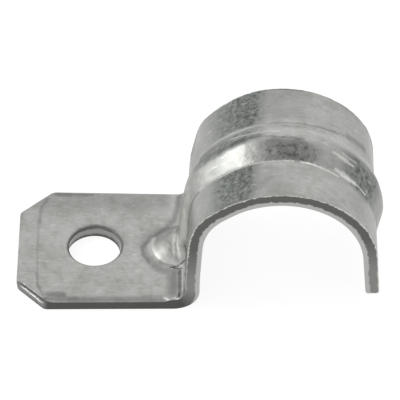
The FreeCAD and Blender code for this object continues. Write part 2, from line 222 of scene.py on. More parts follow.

# Lines on the outer face: painted shade in creases, painted shade elsewhere, painted light, and
# bright lines that are partly rubbed zinc and partly painted highlights. Each is a line of places
# on the sheet (along it, across it), half its width and how strong it is. Creases are grooves too.
CREASES = (
    (((35.0, 0.2), (37.4, -0.1), (39.4, -0.4)), 0.09, 0.4),
    (((39.6, -0.42), (41.0, -0.55)), 0.07, 0.3),
    (((10.6, -4.02), (12.3, -3.78), (13.9, -3.66)), 0.10, 0.95),
    (((11.1, -4.15), (12.5, -4.42), (12.95, -4.85)), 0.09, 0.85),
    (((14.0, -3.7), (15.2, -3.2), (16.5, -2.8)), 0.12, 0.8),
    (((-6.95, 8.9), (-7.75, 7.2), (-7.9, 4.2)), 0.24, 0.34),
    (((-7.9, 4.2), (-7.86, -1.0), (-7.62, -5.2)), 0.15, 0.22),
    (((-7.62, -5.2), (-7.45, -7.4), (-6.7, -9.3)), 0.22, 0.4),
    (((12.2, -9.25), (12.25, -9.6)), 0.26, 1.0),
    (((51.2, -3.77), (54.0, -3.6), (57.3, -3.2)), 0.10, 0.5),
)
# painted shade along the bead's crest and roots, round the dome, at the fold and along the foot's
# rims
PAINTED_SHADE_LINES = (
    (((27.6, -0.4), (29.2, -0.35)), 0.34, 0.2),
    (((29.2, -0.35), (31.3, -0.25)), 0.40, 0.42),
    (((31.3, -0.25), (33.0, -0.1)), 0.42, 0.6),
    (((33.0, -0.1), (34.4, 0.1)), 0.44, 0.8),
    (((21.5, 9.6), (22.8, 8.0), (23.8, 6.4), (25.0, 4.8)), 1.2, 0.25),
    (((34.4, 0.05), (36.4, 0.3)), 0.22, 0.35),
    (((37.4, 3.4), (43.2, 3.7), (45.2, 3.8), (48.2, 4.5)), 0.10, 0.4),
    (((48.2, 4.6), (51.5, 5.2)), 0.40, 0.35),
    (((12.15, -4.9), (12.3, -9.2)), 0.32, 0.85),
    (((11.2, -5.2), (11.3, -8.6)), 0.75, 0.5),
    (((-5.9, -9.15), (-3.9, -9.3)), 0.40, 0.55),
    (((-5.6, 9.9), (-3.9, 9.8)), 0.34, 0.5),
    (((-3.9, 9.8), (-2.0, 9.7), (-0.8, 9.75)), 0.20, 0.35),
    (((8.2, -3.9), (9.6, -4.7), (11.2, -4.9)), 0.45, 0.35),
    (((6.4, -0.2), (6.7, -1.8), (7.6, -3.2)), 0.20, 0.4),
    (((11.4, 9.2), (11.3, 7.0), (10.8, 4.9), (10.0, 3.9)), 0.36, 0.4),
    (((10.0, 3.7), (8.9, 2.5), (7.8, 1.5), (6.7, 0.0)), 0.28, 0.4),
    (((17.5, -3.85), (20.5, -3.5), (22.5, -3.05), (24.3, -3.2), (27.0, -3.6)), 0.12, 0.5),
    (((13.0, -0.4), (12.7, -1.3), (12.4, -2.2), (12.0, -2.9)), 0.42, 0.65),
    (((-6.2, -9.95), (10.0, -9.95)), 0.24, 0.42),
)
# painted light on the leg's bead, on the dome's left flank, at the fold and on the arch's front
# band
PAINTED_LIGHT_LINES = (
    (((14.6, -0.4), (16.0, -1.1), (18.0, -1.6), (21.5, -1.6)), 1.00, 0.72),
    (((21.5, -1.6), (24.2, -1.6)), 0.95, 0.42),
    (((11.4, 0.1), (14.6, -0.2)), 0.75, 0.35),
    (((8.1, 1.2), (7.6, 0.0), (7.9, -1.4), (8.7, -2.4)), 0.45, 0.5),
    (((13.3, -5.7), (13.5, -8.5)), 0.30, 0.4),
    (((43.2, -6.4), (46.4, -6.4)), 1.90, 0.14),
)
# bright lines, partly rubbed zinc and partly painted highlights, along the bead's roots and top, at
# the fold and by the foot's front rim
RUBBED_AND_HIGHLIGHT_LINES = (
    (((29.6, 3.25), (32.3, 3.45), (35.4, 3.3)), 0.09, 0.5),
    (((30.6, -3.75), (35.0, -3.7), (39.3, -3.66)), 0.07, 0.6),
    (((39.3, -3.62), (40.4, -3.6)), 0.13, 0.9),
    (((41.3, -3.62), (43.2, -3.66)), 0.15, 1.0),
    (((43.4, -3.75), (44.8, -3.95), (46.3, -4.1)), 0.12, 0.95),
    (((45.9, -3.2), (46.8, -3.38)), 0.24, 0.85),
    (((46.8, -3.42), (48.0, -3.55)), 0.42, 1.0),
    (((48.0, -3.55), (49.0, -3.5)), 0.32, 0.9),
    (((49.0, -3.5), (49.8, -3.45)), 0.16, 0.6),
    (((50.2, -3.5), (51.3, -3.6)), 0.12, 0.8),
    (((45.2, -1.1), (45.8, -1.2)), 0.20, 0.8),
    (((45.9, -1.28), (47.0, -1.36)), 0.29, 0.8),
    (((47.2, -1.5), (48.1, -1.5)), 0.16, 0.7),
    (((46.2, -0.62), (47.0, -0.74)), 0.12, 0.6),
    (((47.3, -0.74), (48.3, -0.88)), 0.10, 0.6),
    (((33.0, 1.5), (35.4, 1.1), (38.6, 0.9)), 0.16, 0.4),
    (((12.9, -4.85), (12.94, -8.95)), 0.09, 0.9),
    (((9.9, -9.6), (10.7, -9.9), (11.5, -9.75)), 0.17, 0.9),
)


def polar(angle):
    """The unit direction in the strap's side view at an angle from +X."""
    return np.stack([np.cos(angle), np.sin(angle)], axis=-1)


def cap(offset, radius, depth, blend):
    """Height of a rounded bead over a flat, at an offset from the bead's middle.

    The bead's round has its centre that depth under the flat, and a fillet joins the two.
    """
    outer = np.sqrt(np.maximum((radius + blend) ** 2 - (depth + blend) ** 2, 1e-9))
    inner = outer * radius / (radius + blend)
    crown = np.sqrt(np.maximum(radius ** 2 - offset ** 2, 0)) - depth
    fillet = blend - np.sqrt(np.maximum(blend ** 2 - (offset - outer) ** 2, 0))
    return np.where(offset < inner, crown, np.where(offset < outer, fillet, 0.0))


def ridged(offset, height, slope, crest, foot):
    """Height of a bead with straight flanks, a rounded crest and a tight fillet at its foot."""
    steep = math.tan(slope)
    bend = crest * steep ** 2
    rise = height + bend - np.sqrt(bend ** 2 + (steep * offset) ** 2)
    near = np.clip(foot - np.abs(rise), 0, None)
    return np.maximum(rise, 0) + near ** 2 / (4 * foot)


def smooth(low, high, value):
    """A soft step from 0 at low to 1 at high."""
    share = np.clip((value - low) / (high - low), 0, 1)
    return share * share * (3 - 2 * share)


def between(low, high, edge, value):
    """1 between two places and 0 outside them, with soft ends."""
    return smooth(low - edge, low + edge, value) * smooth(high + edge, high - edge, value)


def bump(middle, spread, value):
    """A rounded step up to 1 at the middle and 0 beyond its spread."""
    return (1 + np.cos(math.pi * np.clip((value - middle) / spread, -1, 1))) / 2


def gap_to(points, line):
    """Distance from each point to a line through places."""
    best = np.full(len(points), np.inf)
    for start, end in zip(line[:-1], line[1:]):
        along = np.subtract(end, start)
        share = np.clip((points - start) @ along / (along @ along), 0, 1)
        gap = np.linalg.norm(points - start - share[:, None] * along, axis=1)
        best = np.minimum(best, gap)
    return best


class Form:
    """The strap's side view: faces, bead line and the rows across it, in millimetres."""

    def __init__(self, sizes):
        for name in StrapSizes.__annotations__:
            unit = 1 if name in ANGLES else MM
            setattr(self, name, getattr(sizes, name) / unit)
        self.half = self.width / 2
        self.axis = np.array([self.arch_reach, self.arch_rise])
        self.arch_outside = self.arch_radius + self.thickness
        self.bead_line = self.arch_outside + self.bead_height - self.bead_radius
        self.hollow_radius = self.bead_radius - self.thickness
        self.out_depth = self.bead_radius - self.bead_height
        self.in_depth = self.arch_radius - self.bead_line
        lean = self.leg_lean
        self.leg_out = np.array([-math.cos(lean), math.sin(lean)])
        leg_down = np.array([-math.sin(lean), -math.cos(lean)])
        fold_z = self.thickness + self.fold_radius
        start = self.axis + (self.arch_outside + self.fold_radius) * self.leg_out
        self.fold = start + leg_down * (start[1] - fold_z) / math.cos(lean)
        self.dome_z = self.thickness + self.dome_height - self.bead_radius
        self.turn_radius = self.ridge_radius + self.bead_radius
        turn_z = self.dome_z + self.turn_radius * math.cos(self.dome_tilt)
        start = self.axis + (self.bead_line + self.turn_radius) * self.leg_out
        self.turn = start + leg_down * (start[1] - turn_z) / math.cos(lean)
        self.dome_x = self.turn[0] + self.turn_radius * math.sin(self.dome_tilt)

    def reach(self, angle, side_radius):
        """From the turn's centre out to the face whose fold has that radius."""
        ray = polar(angle)
        offset = self.turn - self.fold
        along = ray @ offset
        square = along ** 2 - (offset @ offset - side_radius ** 2)
        to_fold = -along + np.sqrt(np.maximum(square, 0))
        to_foot = (self.turn[1] - self.fold[1] + side_radius) / -ray[:, 1]
        to_leg = (side_radius + offset @ self.leg_out) / -(ray @ self.leg_out)
        hit = self.turn + to_fold[:, None] * ray - self.fold
        bearing = np.arctan2(hit[:, 1], hit[:, 0])
        on_fold = (bearing > -math.pi / 2) & (bearing < -self.leg_lean)
        straight = np.where(bearing <= -math.pi / 2, to_foot, to_leg)
        return np.where(on_fold, to_fold, straight)

    def rows(self):
        """The rows across the strap, from the foot's seam to the tail's end.

        Each has its point on the outer and inner face, its direction outwards, the bead
        line's depth under both faces and how far the row lies beyond the bead's end.
        """
        turn_x = self.turn[0] + (self.turn[1] - self.thickness) * math.tan(self.dome_tilt)
        x = np.linspace(FOOT_SEAM, turn_x, FOOT_ROWS)[:-1]
        tilt = self.dome_tilt * np.clip((x - TILT_START) / (turn_x - TILT_START), 0, 1)
        foot_dir = polar(math.pi / 2 + tilt)
        foot = {
            "out": np.stack([x, np.full_like(x, self.thickness)], 1),
            "in": np.stack([x + self.thickness * np.tan(tilt), np.zeros_like(x)], 1),
            "dir": foot_dir,
            "out_depth": np.full_like(x, self.thickness - self.dome_z),
            "in_depth": np.full_like(x, -self.dome_z),
            "beyond": np.zeros_like(x),
        }
        angle = np.linspace(self.dome_tilt - math.pi / 2, -self.leg_lean, TURN_ROWS)[:-1]
        out_reach = self.reach(angle, self.fold_radius)
        in_reach = self.reach(angle, self.fold_radius + self.thickness)
        turn = {
            "out": self.turn + out_reach[:, None] * polar(angle),
            "in": self.turn + in_reach[:, None] * polar(angle),
            "dir": -polar(angle),
            "out_depth": self.turn_radius - out_reach,
            "in_depth": self.turn_radius - in_reach,
            "beyond": np.zeros_like(angle),
        }
        top = self.axis + self.bead_line * self.leg_out
        low = self.turn - self.turn_radius * self.leg_out
        share = np.linspace(0, 1, LEG_ROWS)[:-1, None]
        line = low + (top - low) * share
        leg = self.straight(line, np.repeat(self.leg_out[None], len(line), 0), 0 * share[:, 0])
        angle = np.linspace(math.pi - self.leg_lean, self.tail_flare, ARCH_ROWS)[:-1]
        line = self.axis + self.bead_line * polar(angle)
        arch = self.straight(line, polar(angle), 0 * angle)
        tail_dir = np.array([math.cos(self.tail_flare), math.sin(self.tail_flare)])
        tail_down = np.array([tail_dir[1], -tail_dir[0]])
        inner = self.axis + self.arch_radius * tail_dir
        tail_length = (inner[1] - self.tail_clearance) / tail_dir[0]
        steps = np.array(RIM_STEPS[::-1])
        along = np.concatenate([
            np.linspace(0, tail_length - RIM_STEPS[-1], TAIL_ROWS)[:-1], tail_length - steps])
        line = self.axis + self.bead_line * tail_dir + along[:, None] * tail_down
        overrun = self.bead_line * (self.tail_flare - self.bead_end)
        tail = self.straight(line, np.repeat(tail_dir[None], len(along), 0),
                             np.maximum(along - overrun, 0))
        joined = {name: np.concatenate([part[name] for part in (foot, turn, leg, arch, tail)])
                  for name in foot}
        middle = (joined["out"] + joined["in"]) / 2
        steps = np.linalg.norm(np.diff(middle, axis=0), axis=1)
        joined["run"] = FOOT_SEAM + np.concatenate([[0], np.cumsum(steps)])
        joined["to_end"] = np.full(len(middle), FAR)
        joined["to_end"][-len(along):] = tail_length - along
        joined["on_foot"] = np.arange(len(middle)) < len(x)
        before_leg = len(x) + len(turn["beyond"])
        down_leg = math.pi - self.leg_lean + (1 - share[:, 0]) * LEG_TURN
        joined["round"] = np.concatenate([
            np.full(before_leg, NO_ANGLE), down_leg, angle, np.full(len(along), self.tail_flare)])
        self.leg_run = joined["run"][before_leg]
        self.arch_run = joined["run"][before_leg + len(leg["beyond"])]
        self.tail_run = joined["run"][-len(along)]
        self.end_run = joined["run"][-1]
        return joined

    def straight(self, line, direction, beyond):
        """Rows where the bead line runs at its usual depth under both faces."""
        return {
            "out": line + self.out_depth * direction,
            "in": line + self.in_depth * direction,
            "dir": direction,
            "out_depth": np.full(len(line), self.out_depth),
            "in_depth": np.full(len(line), self.in_depth),
            "beyond": beyond,
        }

    def set_back(self, angle, share):
        """How far the arch stands out of true, at an angle round it and a share from its front."""
        # its places are in degrees round the arch from the tail's side
        degrees = np.degrees(angle)
        front = self.front_swell * bump(147, 23, degrees) - 0.2 * bump(176, 18, degrees)
        back = -self.back_dip * bump(168, 24, degrees) - 0.15 * bump(130, 26, degrees)
        back = back - 0.22 * bump(0, 30, degrees)
        return front * (1 - share) + back * share

    def blend(self, run):
        """Fillet at the bead's foot: tight round the dome and wider up the leg."""
        return self.dome_blend + (self.bead_blend - self.dome_blend) * smooth(12.0, 17.0, run)

    def side(self, run):
        """Half the strap's width at a place along it. Foot and arch top stand out a little."""
        foot = self.foot_spread * np.clip((12 - run) / 18, 0, 1)
        crown = self.crown_spread * between(33, 46, 5, run)
        return self.half + foot + crown

    def columns(self):
        """Places across the strap, closest together at the rims and on the bead's flanks."""
        rim = self.half - np.array(RIM_STEPS)
        side = np.concatenate([
            rim,
            np.linspace(rim[-1], BEAD_ROOT, 15)[1:],
            np.linspace(BEAD_ROOT, BEAD_CREST, 18)[1:],
            np.linspace(BEAD_CREST, 0, 12)[1:],
        ])
        return np.concatenate([-side, side[-2::-1]])

    def outline(self):
        """The foot's outline from its seam round the tip and back, with eased corners.

        The front clip is a little smaller than the back one, and the tip is askew.
        """
        back, front = self.side(CLIP_START), -self.side(CLIP_START)
        corners = [(FOOT_SEAM, self.side(FOOT_SEAM)),
                   (self.clip - self.tip_reach, back),
                   (-self.tip_reach - self.tip_skew, back - self.clip + 0.1),
                   (-self.tip_reach, front + self.clip - 0.3),
                   (self.clip - self.tip_reach - 0.25, front),
                   (FOOT_SEAM, -self.side(FOOT_SEAM))]
        corners = [np.array(corner) for corner in corners]
        line = [corners[0]]
        for before, corner, after in zip(corners, corners[1:], corners[2:]):
            start, end = (corner + CORNER_EASE * (other - corner) / np.linalg.norm(other - corner)
                          for other in (before, after))
            for share in np.linspace(0, 1, 6):
                line.append((1 - share) ** 2 * start + 2 * share * (1 - share) * corner
                            + share ** 2 * end)
        line.append(corners[-1])
        fine = [line[0]]
        for start, end in zip(line[:-1], line[1:]):
            count = max(1, math.ceil(np.linalg.norm(end - start) / OUTLINE_STEP))
            fine += [start + (end - start) * step / count for step in range(1, count + 1)]
        return fine


class Sheet:
    """The flat plan of the sheet: each point's place, faces and distance to the nearest rim."""

    def __init__(self, form):
        self.form = form
        self.points = []
        self.quads = []

    def add(self, out, inner, direction, across, run, edge, bore, out_bump, in_bump):
        """Add one point and give its number."""
        self.points.append([*out, *inner, *direction, across, run, edge, bore, out_bump, in_bump])
        return len(self.points) - 1

    def foot(self, columns):
        """The foot's end, in rings from the screw hole to its outline."""
        form = self.form
        seam = columns * form.side(FOOT_SEAM) / form.half
        outline = [np.array((FOOT_SEAM, y)) for y in seam]
        rim_line = form.outline()
        outline += rim_line[1:-1]
        rim = np.array(RIM_STEPS)
        middle = np.linspace(0, 1, 24)[1:-1]
        rings = []
        for place in outline:
            distance = math.hypot(*place) - form.hole_radius
            scale = min(1.0, distance / FULL_STEPS)
            near, far = rim * scale, distance - rim[::-1] * scale
            stops = np.concatenate([near, near[-1] + (far[0] - near[-1]) * middle, far])
            way = place / math.hypot(*place)
            ray = []
            for stop in stops:
                px, py = way * (stop + form.hole_radius)
                ray.append(self.add((px, form.thickness), (px, 0.0), (0.0, 1.0), py, px,
                                    0.0, stop, 0.0, 0.0))
            rings.append(ray)
        rim_line = [np.array((12.0, form.side(12.0)))] + rim_line
        rim_line.append(np.array((12.0, -form.side(12.0))))
        places = np.array([[point[7], point[6]] for point in self.points])
        for point, gap in zip(self.points, gap_to(places, rim_line)):
            point[8] = gap if gap > 1e-6 else 0.0
        count = len(rings)
        for m in range(count):
            here, there = rings[m], rings[(m + 1) % count]
            for k in range(len(here) - 1):
                self.quads.append((here[k], here[k + 1], there[k + 1], there[k]))
        return [rings[j][-1] for j in range(len(columns))]

    def strip(self, columns, seam):
        """The rest of the foot, the fold, the leg, the arch and the tail, row by row."""
        form = self.form
        rows = form.rows()
        last = seam
        for i in range(1, len(rows["run"])):
            direction, beyond, run = rows["dir"][i], rows["beyond"][i], rows["run"][i]
            to_end = rows["to_end"][i]
            inset = max(TAIL_CORNER - to_end, 0.0)
            trim = TAIL_CORNER - math.sqrt(max(TAIL_CORNER ** 2 - inset ** 2, 0.0))
            across = columns * (form.side(run) - trim) / form.half
            offset = np.hypot(across, beyond)
            blend = form.blend(run)
            out_bump = cap(offset, form.bead_radius, rows["out_depth"][i], blend)
            in_bump = cap(offset, form.hollow_radius, rows["in_depth"][i], form.bead_blend)
            if rows["on_foot"][i]:
                out_bump = self.dome(rows["out"][i], direction, across, form.bead_radius,
                                     form.thickness - form.dome_z, blend)
                in_bump = self.dome(rows["in"][i], direction, across, form.hollow_radius,
                                    -form.dome_z, form.bead_blend)
            # past the fold the bead's flanks turn straight, and off the crown it is a tenth lower
            pressed = smooth(form.leg_run + 1, form.arch_run + 4, run)
            sharp = ridged(offset, form.bead_height, form.flank_slope, form.crest_radius, 0.2)
            out_bump = out_bump + (sharp - out_bump) * pressed
            low = smooth(form.leg_run, form.leg_run + 4, run) * (1 - between(34, 45, 4, run))
            out_bump = out_bump * (1 - 0.1 * low)
            if rows["round"][i] < NO_ANGLE:
                shift = form.set_back(rows["round"][i], (across + form.half) / form.width)
                out_bump, in_bump = out_bump + shift, in_bump + shift
            row = []
            for j, y in enumerate(across):
                edge = min(form.half - abs(columns[j]), to_end)
                row.append(self.add(rows["out"][i], rows["in"][i], direction, y, run,
                                    edge, FAR, out_bump[j], in_bump[j]))
            for j in range(len(columns) - 1):
                self.quads.append((last[j], row[j], row[j + 1], last[j + 1]))
            last = row

    def dome(self, base, direction, across, radius, depth, blend):
        """Bump of the dome's ball over the foot, along a row that leans back."""
        form = self.form
        height = np.zeros_like(across)
        for _ in range(14):
            x = base[0] + direction[0] * height
            offset = np.hypot(np.minimum(x - form.dome_x, 0), across)
            height = cap(offset, radius, depth, blend) / direction[1]
        return height


def grain(points, size, seed):
    """Smooth noise from -1 to 1 whose features are about that size in millimetres."""
    shift = Vector((seed * 17.3, seed * 5.1, seed * 9.7))
    return np.array([noise.noise(Vector(p) / size + shift) for p in points])


def rolled(edge, depth, width):
    """How far a rim's rounding drops below the face at a distance from the rim."""
    inset = np.clip(1 - edge / width, 0, 1)
    return depth * (1 - np.sqrt(np.maximum(1 - inset ** 2, 0)))


def press_marks(form, data, flat):
    """How far the outer and inner faces move for rolled rims, burrs, waves and creases."""
    across, run, edge, bore = data[:, 6:10].T
    on_arch = smooth(11.5, 13.5, run)
    at_end = smooth(form.tail_run, form.end_run - 1, run)
    wave = sum(height * grain(flat, size, seed) for height, size, seed in WAVES)
    keep = smooth(0.0, 0.8, np.minimum(edge, bore))

    # the foot's front rim rolls over widely, its other rims hardly at all
    on_side = smooth(-6.9, -5.6, run) * smooth(10.9, 9.6, run) * (across < 0)
    width = RIM_WIDTH + (form.roll_width - RIM_WIDTH) * on_side
    depth = RIM_DEPTH + (form.roll_depth - RIM_DEPTH) * on_side
    depth = depth * (1 - on_arch)
    out = -depth * np.clip(1 - edge / width, 0, 1) ** (1.15 + 0.85 * on_side)
    out -= 0.16 * np.clip(1 - bore / 0.9, 0, 1) ** 2 + rolled(bore, 0.07, 0.16)
    # a torn burr stands up along the arch's rim
    burr = BURR_HEIGHT * (1 + grain(flat, 0.45, 4)) * on_arch * (1 - at_end)
    out += burr * np.clip(1 - edge / BURR_WIDTH, 0, 1)
    inner = rolled(edge, 0.09, 0.14) * (1 - on_arch)
    round_end = smooth(1.2, 0.2, form.end_run - run) * at_end
    out -= round_end * rolled(edge, 0.45, 0.5)
    inner += round_end * rolled(edge, 0.5, 0.55)

    # the tip bends down a little past its crease
    out -= TIP_BEND * smooth(-7.8, -9.8, run)
    # a shallow dent by the front clip, and the creases
    out -= DENT_DEPTH * np.exp(-((run + 4.9) / 1.2) ** 2 - ((across + 9.2) / 0.45) ** 2)
    place = np.stack([run, across], 1)
    for line, half_width, strength in CREASES:
        groove = np.exp(-(gap_to(place, line) / (1.6 * half_width)) ** 2)
        out -= CREASE_DEPTH * strength * groove * keep
    return out + wave * keep, inner + wave * keep


def outer_and_inner(form, data):
    """Each point's place before the marks are pressed, and after it on the outer and inner face."""
    out, inner, direction = data[:, 0:2], data[:, 2:4], data[:, 4:6]
    across, run, _, bore = data[:, 6:10].T
    flat = np.stack([out[:, 0], across, out[:, 1]], 1)
    out_mark, in_mark = press_marks(form, data, flat)
    top = out + direction * (data[:, 10] + out_mark)[:, None]
    low = inner + direction * (data[:, 11] + in_mark)[:, None]
    top = np.stack([top[:, 0], across, top[:, 1]], 1)
    low = np.stack([low[:, 0], across, np.maximum(low[:, 1], 0.0)], 1)
    # the front clip was sheared leaning in
    gap = (run + form.tip_reach + across + form.side(CLIP_START) - form.clip) / math.sqrt(2)
    lean = CLIP_LEAN * smooth(1.0, 0.0, gap) * smooth(-10.3, -9.4, run) * (across < 0)
    top[:, :2] += lean[:, None]
    # the punch left the hole's lower rim a little nearer the tip
    low[:, 0] -= HOLE_SHIFT * smooth(1.6, 0.0, bore)
    return flat, top, low


def rims(quads, flat, direction):
    """The edges that only one face has, and the way outwards at each of their points."""
    starts = quads.T.ravel()
    ends = np.roll(quads, -1, axis=1).T.ravel()
    pairs = set(zip(starts.tolist(), ends.tolist()))
    edges = sorted((a, b) for a, b in pairs if (b, a) not in pairs)
    following = dict(edges)
    leading = {b: a for a, b in edges}
    outward = {}
    for a in sorted(following):
        way = np.cross(flat[following[a]] - flat[leading[a]], (direction[a, 0], 0, direction[a, 1]))
        outward[a] = way / max(np.linalg.norm(way), 1e-9)
    return edges, outward


def cut_walls(flat, top, low, outward, clipped, holed):
    """Points through the sheet at its rims, with each one's depth and the rim's point it is under,
    and each wall's points from the outer face to the inner one."""
    points, depth, source, walls = [], [], [], {}
    for a, way in outward.items():
        place = Vector(flat[a])
        walls[a] = [a]
        for k in range(1, WALL_STEPS):
            share = k / WALL_STEPS
            tear = sum(noise.noise(place / size + Vector((0, 0, share * turns))) * TEAR_DEPTH
                       for size, turns in TEAR_GRAINS)
            swell = tear * (1 - 0.7 * holed[a]) + (CLIP_BULGE * clipped[a] - CUT_HOLLOW)
            walls[a].append(2 * len(top) + len(points))
            points.append(top[a] * (1 - share) + low[a] * share
                          + way * swell * math.sin(math.pi * share))
            depth.append(share)
            source.append(a)
        walls[a].append(a + len(top))
    return points, depth, source, walls


def coating(data):
    """How the coating differs from point to point of the sheet.

    It is dark in patches on the arch's shoulders and the bead, partly as painted shade. Painted
    shade greys it and makes it rougher on the leg, the arch's sides, the crown's bands, the dome
    and the foot's back, and darkens the hole's rim. It is speckled on part of the bead, and matt on
    the bead by the arch's crown, on the dome and most of all on the foot's rolled rim.
    """
    across, run, edge, bore = data[:, 6:10].T
    # dark patches on the arch's shoulders and on the bead's top, back and right, partly painted
    # shade
    far = smooth(37.3, 34.6, run - 0.055 * across)
    shoulder = np.where(across > 0, smooth(26.5, 34.0, run), smooth(28.0, 32.4, run)) * far
    shoulder = shoulder * smooth(3.3, 4.1, np.abs(across))
    bead_top = between(36.9, 43.2, 1.3, run) * between(-3.7, -1.2, 0.5, across)
    bead_back = between(27.0, 36.5, 1.5, run) * between(-0.4, 2.7, 0.7, across)
    bead_right = between(47.0, 53.5, 2.0, run) * between(-4.5, 0.3, 0.6, across)
    bead_matt = between(29.0, 39.0, 2.5, run) * smooth(4.2, 3.4, np.abs(across))
    rolled_rim = smooth(1.1, 0.6, edge) * between(-6.2, 10.2, 0.6, run) * (across < 0)
    # painted shade on the crown's bands, the leg and the arch's sides, the dome and the foot's back
    crown = between(36.5, 42.5, 1.5, run)
    crown = crown * (0.7 * smooth(4.0, 5.0, across) + 0.4 * smooth(-4.0, -5.0, across))
    left = smooth(11.5, 13.5, run) * smooth(34.0, 30.0, run)
    right = smooth(44.0, 51.0, run) * 0.9
    dome = smooth(4.5, 2.5, np.hypot(run - 9.5, across)) * smooth(13.3, 11.3, run) * 0.9
    foot_back = smooth(5.0, 8.5, across) * smooth(11, 9, run) * 0.7
    return {
        "dull": np.clip(shoulder + 0.4 * bead_top + 0.8 * bead_right + 0.7 * bead_back, 0, 1),
        "drawn": np.clip(left + right + dome + crown + foot_back, 0, 1),
        "speckled": bead_top,
        "matt": 0.5 * bead_matt + 2.2 * rolled_rim + 0.5 * dome,
        # painted shade round the hole's rim, stronger on its back half
        "soiled": smooth(0.42, 0.12, bore) * (0.35 + 0.55 * smooth(-3.2, -1.0, across)),
    }


def build_sheet_mesh(sizes):
    """The whole pressed sheet as one closed mesh, with what its materials need."""
    form = Form(sizes)
    columns = form.columns()
    sheet = Sheet(form)
    seam = sheet.foot(columns)
    foot_count = len(sheet.points)
    sheet.strip(columns, seam)
    data = np.array(sheet.points)
    quads = np.array(sheet.quads)
    across, run, _, bore = data[:, 6:10].T
    count = len(data)
    flat, top, low = outer_and_inner(form, data)
    rim_edges, outward = rims(quads, flat, data[:, 4:6])

    # how much each rim is a clipped corner's, and whether it is the screw hole's
    clipped = np.zeros(count)
    for a, way in outward.items():
        if a < foot_count and bore[a] > 0.1:
            clipped[a] = abs(way[0] * way[1]) * 2
    holed = (bore < 1e-6).astype(float)

    points, wall_depth, wall_source, walls = cut_walls(flat, top, low, outward, clipped, holed)
    vertices = np.concatenate([top, low, np.array(points)]) * MM
    depth = np.concatenate([np.zeros(count), np.ones(count), wall_depth])
    source = np.concatenate([np.arange(count), np.arange(count), wall_source]).astype(int)
    faces = [tuple(q) for q in quads.tolist()]
    faces += [tuple(v + count for v in q[::-1]) for q in quads.tolist()]
    skin = len(faces)
    for a, b in rim_edges:
        for k in range(WALL_STEPS):
            faces.append((walls[a][k], walls[a][k + 1], walls[b][k + 1], walls[b][k]))

    mesh = bpy.data.meshes.new("pressed_strap")
    mesh.from_pydata(vertices.tolist(), [], faces)
    mesh.update()
    if mesh.validate():
        raise RuntimeError("the sheet's mesh has faulty faces")
    index = np.zeros(len(faces), np.int32)
    index[skin:] = 1
    mesh.polygons.foreach_set("material_index", index)
    fields = {"run": run, "across": across, "clipped": clipped, "holed": holed, **coating(data)}
    fields = {name: values[source] for name, values in fields.items()}
    fields["depth"] = depth
    for name, values in fields.items():
        layer = mesh.attributes.new(name, "FLOAT", "POINT")
        layer.data.foreach_set("value", values.astype(np.float32))
    mesh.shade_smooth()
    mesh.set_sharp_from_angle(angle=math.radians(38))
    return mesh


# ------------------------------------------------------------------ materials
def node(tree, kind, inputs=(), **settings):
    """Add one node, with its settings and what its sockets hold or are linked to.

    A node that is given for a socket is linked from the first output that it has in use.
    """
    made = tree.nodes.new(kind)
    for name, setting in settings.items():
        setattr(made, name, setting)
    for socket, given in dict(inputs).items():
        if isinstance(given, bpy.types.Node):
            given = next(output for output in given.outputs if output.enabled)
        if isinstance(given, bpy.types.NodeSocket):
            tree.links.new(given, made.inputs[socket])
        else:
            made.inputs[socket].default_value = given
    return made


def new_material(name):
    """An empty material with nodes."""
    material = bpy.data.materials.new(name)
    material.use_nodes = True
    material.node_tree.nodes.clear()
    return material


def marks(tree, place, lines, fade):
    """How much a place on the sheet lies on one of those lines of marks, from 0 to 1."""
    most = 0.0
    for line, half_width, strength in lines:
        for start, end in zip(line[:-1], line[1:]):
            along = Vector((end[0] - start[0], end[1] - start[1], 0))
            way = along.normalized()
            offset = node(tree, "ShaderNodeVectorMath", {0: place, 1: (*start, 0)},
                          operation="SUBTRACT")
            ahead = node(tree, "ShaderNodeVectorMath", {0: offset, 1: way},
                         operation="DOT_PRODUCT")
            held = node(tree, "ShaderNodeClamp", {"Value": ahead, "Max": along.length})
            foot = node(tree, "ShaderNodeVectorMath", {0: way, "Scale": held}, operation="SCALE")
            gap = node(tree, "ShaderNodeVectorMath", {0: offset, 1: foot}, operation="DISTANCE")
            cover = node(tree, "ShaderNodeMapRange",
                         {"Value": gap, "From Min": fade * half_width,
                          "From Max": 0.4 * half_width, "To Max": strength})
            most = node(tree, "ShaderNodeMath", {0: most, 1: cover}, operation="MAXIMUM")
    return most


def by_distance(tree, value, middle, start, full, strength=1.0):
    """A cover that goes by how far a value is from a middle: from 0 at the start to full."""
    away = node(tree, "ShaderNodeMath", {0: value, 1: middle}, operation="SUBTRACT")
    away = node(tree, "ShaderNodeMath", {0: away}, operation="ABSOLUTE")
    return node(tree, "ShaderNodeMapRange",
                {"Value": away, "From Min": start, "From Max": full, "To Max": strength})


